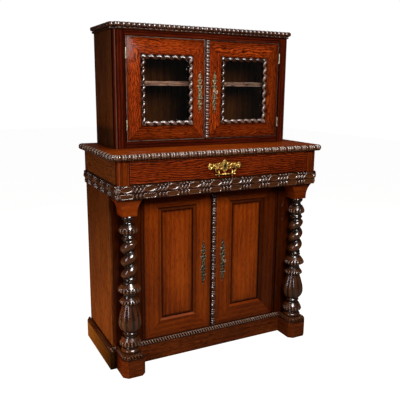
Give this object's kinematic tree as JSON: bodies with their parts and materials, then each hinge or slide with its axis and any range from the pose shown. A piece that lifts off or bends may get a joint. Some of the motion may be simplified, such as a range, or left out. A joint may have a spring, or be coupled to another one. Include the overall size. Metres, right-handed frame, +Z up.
{
  "type": "two-part buffet bookcase",
  "caption": "Glazed bookcase with hinged doors standing on a breakfront cupboard with a frieze drawer, twisted columns, carved mouldings and panelled doors.",
  "frame": {"origin": "on the floor under the middle of the worktop", "axes": "+Z up, -Y out of the front, +X to the right seen from the front"},
  "size_m": [1.04, 0.501, 1.4815],
  "materials": {
    "polished_front": "french-polished red-brown hardwood",
    "polished_side": "polished dark brown hardwood",
    "carved": "carved and polished, nearly black",
    "inside": "dull stained inside",
    "drawer_lining": "dry planed timber",
    "brass": "cast and aged",
    "bronze": "pressed, darkened with age",
    "steel": "worn",
    "glass": "clear"
  },
  "bodies": {
    "base": {"plinth_front": "polished_front", "plinth_left": "polished_side", "plinth_right": "polished_side", "base_floor": "inside", "base_side_left": "polished_side", "base_side_right": "polished_side", "base_back": "inside", "base_shelf": "inside", "base_stile_left": "polished_front", "base_stile_right": "polished_front", "drawer_board": "inside", "frieze_end_left": "polished_side", "frieze_end_right": "polished_side", "frieze_top_rail": "polished_front", "carved_band": "carved", "corbel_left": "carved", "corbel_right": "carved", "column_left": "carved", "column_right": "carved", "worktop": "polished_front", "upper_side_left": "polished_side", "upper_side_right": "polished_side", "upper_floor": "inside", "upper_back": "inside", "upper_shelf": "inside", "upper_face_frame": "polished_front", "cornice": "carved", "upper_left_top_hinge_case": "brass", "upper_left_bottom_hinge_case": "brass", "upper_right_top_hinge_case": "brass", "upper_right_bottom_hinge_case": "brass"},
    "drawer": {"drawer_front": "polished_front", "drawer_side_left": "drawer_lining", "drawer_side_right": "drawer_lining", "drawer_back": "drawer_lining", "drawer_bottom": "drawer_lining", "handle_plate": "brass"},
    "bail": {"handle_bail": "brass"},
    "lower_left_door": {"lower_left_frame": "polished_front", "lower_left_panel": "polished_front", "lower_left_escutcheon": "bronze"},
    "lower_right_door": {"lower_right_frame": "polished_front", "lower_right_panel": "polished_front", "lower_right_escutcheon": "bronze", "lower_astragal": "carved"},
    "lower_key": {"lower_key": "steel"},
    "upper_left_door": {"upper_left_frame": "polished_front", "upper_left_glass": "glass", "upper_left_twist": "carved", "upper_left_escutcheon": "bronze", "upper_left_top_hinge_door": "brass", "upper_left_bottom_hinge_door": "brass"},
    "upper_right_door": {"upper_right_frame": "polished_front", "upper_right_glass": "glass", "upper_right_twist": "carved", "upper_right_escutcheon": "bronze", "upper_astragal": "carved", "upper_right_top_hinge_door": "brass", "upper_right_bottom_hinge_door": "brass"},
    "upper_key": {"upper_key": "steel"}
  },
  "joints": [
    {"name": "drawer_slide", "type": "slide", "parent": "base", "child": "drawer", "axis": [0, -1, 0], "range_m": [0, 0.29]},
    {"name": "bail_swing", "type": "hinge", "parent": "drawer", "child": "bail", "pos_m": [-0.006, -0.2361, 0.8925], "axis": [-1, 0, 0], "range_deg": [0, 95]},
    {"name": "lower_left_hinge", "type": "hinge", "parent": "base", "child": "lower_left_door", "pos_m": [-0.346, -0.111, 0.1005], "axis": [0, 0, -1], "range_deg": [0, 90]},
    {"name": "lower_right_hinge", "type": "hinge", "parent": "base", "child": "lower_right_door", "pos_m": [0.346, -0.111, 0.1005], "axis": [0, 0, 1], "range_deg": [0, 90]},
    {"name": "lower_key_turn", "type": "hinge", "parent": "lower_right_door", "child": "lower_key", "pos_m": [0.0513, -0.122, 0.428], "axis": [0, 1, 0], "range_deg": [0, 180]},
    {"name": "upper_left_hinge", "type": "hinge", "parent": "base", "child": "upper_left_door", "pos_m": [-0.3838, -0.0485, 0.9932], "axis": [0, 0, -1], "range_deg": [0, 170]},
    {"name": "upper_right_hinge", "type": "hinge", "parent": "base", "child": "upper_right_door", "pos_m": [0.3838, -0.0485, 0.9932], "axis": [0, 0, 1], "range_deg": [0, 170]},
    {"name": "upper_key_turn", "type": "hinge", "parent": "upper_right_door", "child": "upper_key", "pos_m": [0.0374, -0.044, 1.202], "axis": [0, 1, 0], "range_deg": [0, 180]}
  ]
}
